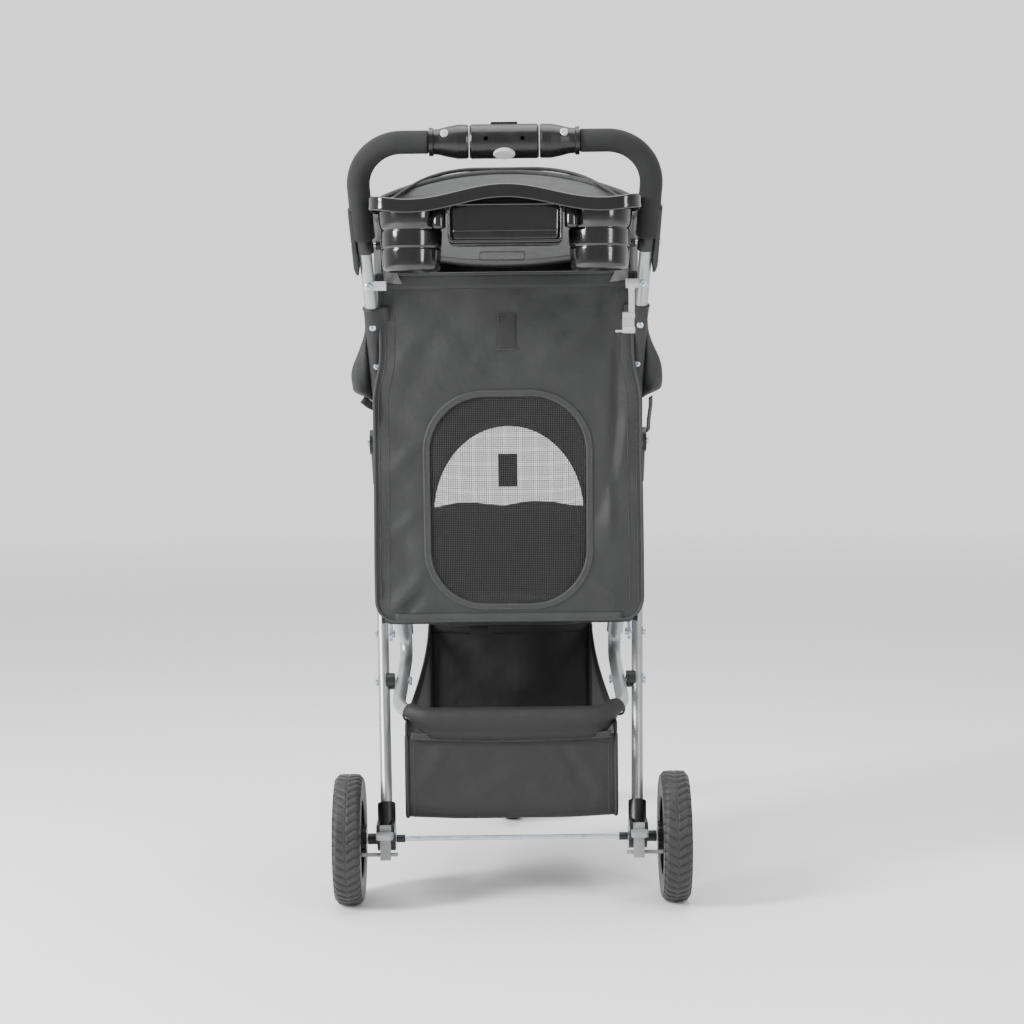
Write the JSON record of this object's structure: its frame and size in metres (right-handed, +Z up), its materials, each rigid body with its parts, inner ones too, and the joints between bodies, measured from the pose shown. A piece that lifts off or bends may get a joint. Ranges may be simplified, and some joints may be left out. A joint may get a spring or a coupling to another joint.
{
  "type": "pet stroller",
  "caption": "Folding three-wheeled pet stroller with a fabric cabin, mesh rear window, cup tray, foam grips and a storage basket.",
  "frame": {"origin": "on the ground, under the middle of the overall width and length", "axes": "+X to the right seen from behind, +Y forward, +Z up"},
  "size_m": [0.448, 0.78, 0.9729],
  "materials": {
    "painted_tube": "satin",
    "zinc_steel": "satin",
    "black_plastic": "fine grain",
    "gloss_tray": "gloss",
    "pale_plastic": "satin",
    "grey_plastic": "satin",
    "foam": "closed-cell foam",
    "tyre_foam": "matt",
    "cabin_cloth": "600D plain weave",
    "mesh_cloth": "open square mesh",
    "board": "cloth-covered board"
  },
  "bodies": {
    "rear_frame": {"rear_leg_left": "painted_tube", "rear_leg_right": "painted_tube", "axle_bracket_left": "black_plastic", "axle_bracket_right": "black_plastic", "apex_hinge_left": "black_plastic", "apex_hinge_right": "black_plastic", "lock_plate_left": "zinc_steel", "lock_plate_right": "zinc_steel", "rear_axle": "zinc_steel", "axle_spacers": "black_plastic", "axle_caps": "zinc_steel", "pivot_spacers": "black_plastic", "frame_bolts": "zinc_steel", "apex_pins": "zinc_steel", "brake_hinge_pins": "zinc_steel", "cabin_floor": "board", "cabin_front_wall": "cabin_cloth"},
    "handle_frame": {"handle_tube_left": "painted_tube", "handle_tube_right": "painted_tube", "foam_grip_left": "foam", "foam_grip_right": "foam", "hub_cone_left": "black_plastic", "hub_cone_right": "black_plastic", "hood_bracket_left": "black_plastic", "hood_bracket_right": "black_plastic", "cabin_side_left": "cabin_cloth", "cabin_side_right": "cabin_cloth", "tube_ferrules": "pale_plastic", "cabin_brackets": "pale_plastic", "hood_pins": "zinc_steel", "basket_hoop": "painted_tube", "tray": "gloss_tray", "hood_rear_bow": "painted_tube", "cabin_rear_panel": "cabin_cloth", "rear_window_mesh": "mesh_cloth", "rear_flap": "cabin_cloth", "basket": "cabin_cloth"},
    "front_frame": {"front_leg_left": "painted_tube", "front_leg_right": "painted_tube", "front_leg_eyes": "black_plastic", "caster_housing": "black_plastic"},
    "front_fork": {"front_fork": "black_plastic", "front_axle": "zinc_steel"},
    "front_wheel": {"front_tyre": "tyre_foam", "front_wheel_centre": "black_plastic"},
    "hood_front": {"hood_front_bow": "painted_tube", "hood_cover": "cabin_cloth", "front_screen": "mesh_cloth"},
    "hub_barrel": {"hub_barrel": "black_plastic"},
    "hub_button": {"hub_button": "pale_plastic"},
    "storage_clip": {"storage_clip": "pale_plastic"},
    "rear_wheel_left": {"rear_tyre_left": "tyre_foam", "rear_wheel_centre_left": "black_plastic"},
    "brake_pedal_left": {"brake_pedal_left": "grey_plastic"},
    "latch_pin_left": {"latch_pin_left": "zinc_steel"},
    "rear_wheel_right": {"rear_tyre_right": "tyre_foam", "rear_wheel_centre_right": "black_plastic"},
    "brake_pedal_right": {"brake_pedal_right": "grey_plastic"},
    "latch_pin_right": {"latch_pin_right": "zinc_steel"}
  },
  "joints": [
    {"name": "handle_fold", "type": "hinge", "parent": "rear_frame", "child": "handle_frame", "pos_m": [0, -0.14594, 0.27104], "axis": [-1, 0, 0], "range_deg": [0, 30], "deforming": ["cabin_side_left", "cabin_side_right", "cabin_rear_panel", "rear_window_mesh", "rear_flap", "basket", "cabin_front_wall", "hood_cover", "front_screen"]},
    {"name": "front_fold", "type": "hinge", "parent": "rear_frame", "child": "front_frame", "pos_m": [0, 0.01151, 0.58004], "axis": [-1, 0, 0], "range_deg": [0, 24]},
    {"name": "front_swivel", "type": "hinge", "parent": "front_frame", "child": "front_fork", "pos_m": [0, 0.342, 0.185], "axis": [0, 0, 1], "continuous": true},
    {"name": "front_wheel_spin", "type": "hinge", "parent": "front_fork", "child": "front_wheel", "pos_m": [0, 0.314, 0.076], "axis": [1, 0, 0], "continuous": true},
    {"name": "hub_twist", "type": "hinge", "parent": "handle_frame", "child": "hub_barrel", "pos_m": [0, -0.352, 0.95], "axis": [1, 0, 0], "range_deg": [0, 40], "stiffness_Nm_per_rad": 0.2},
    {"name": "hub_button_press", "type": "slide", "parent": "hub_barrel", "child": "hub_button", "axis": [0, 0.6428, 0.766], "range_m": [0, 0.003], "stiffness_N_per_m": 300},
    {"name": "storage_clip_swing", "type": "hinge", "parent": "handle_frame", "child": "storage_clip", "pos_m": [0.154, -0.304, 0.779], "axis": [-1, 0, 0], "range_deg": [0, 90]},
    {"name": "hood_open", "type": "hinge", "parent": "handle_frame", "child": "hood_front", "pos_m": [0, -0.295, 0.831], "axis": [1, 0, 0], "range_deg": [0, 20]},
    {"name": "rear_wheel_left_spin", "type": "hinge", "parent": "rear_frame", "child": "rear_wheel_left", "pos_m": [-0.2065, -0.242, 0.0825], "axis": [1, 0, 0], "continuous": true},
    {"name": "brake_left_press", "type": "hinge", "parent": "rear_frame", "child": "brake_pedal_left", "pos_m": [-0.1595, -0.269, 0.0975], "axis": [1, 0, 0], "range_deg": [0, 26]},
    {"name": "latch_left_slide", "type": "slide", "parent": "handle_frame", "child": "latch_pin_left", "axis": [-0.0595, -0.4059, 0.912], "range_m": [0, 0.01], "stiffness_N_per_m": 200},
    {"name": "rear_wheel_right_spin", "type": "hinge", "parent": "rear_frame", "child": "rear_wheel_right", "pos_m": [0.2065, -0.242, 0.0825], "axis": [1, 0, 0], "continuous": true},
    {"name": "brake_right_press", "type": "hinge", "parent": "rear_frame", "child": "brake_pedal_right", "pos_m": [0.1595, -0.269, 0.0975], "axis": [1, 0, 0], "range_deg": [0, 26]},
    {"name": "latch_right_slide", "type": "slide", "parent": "handle_frame", "child": "latch_pin_right", "axis": [0.0595, -0.4059, 0.912], "range_m": [0, 0.01], "stiffness_N_per_m": 200}
  ],
  "couplings": [
    {"joint": "front_fold", "follows": "handle_fold", "ratio": 0.8}
  ]
}
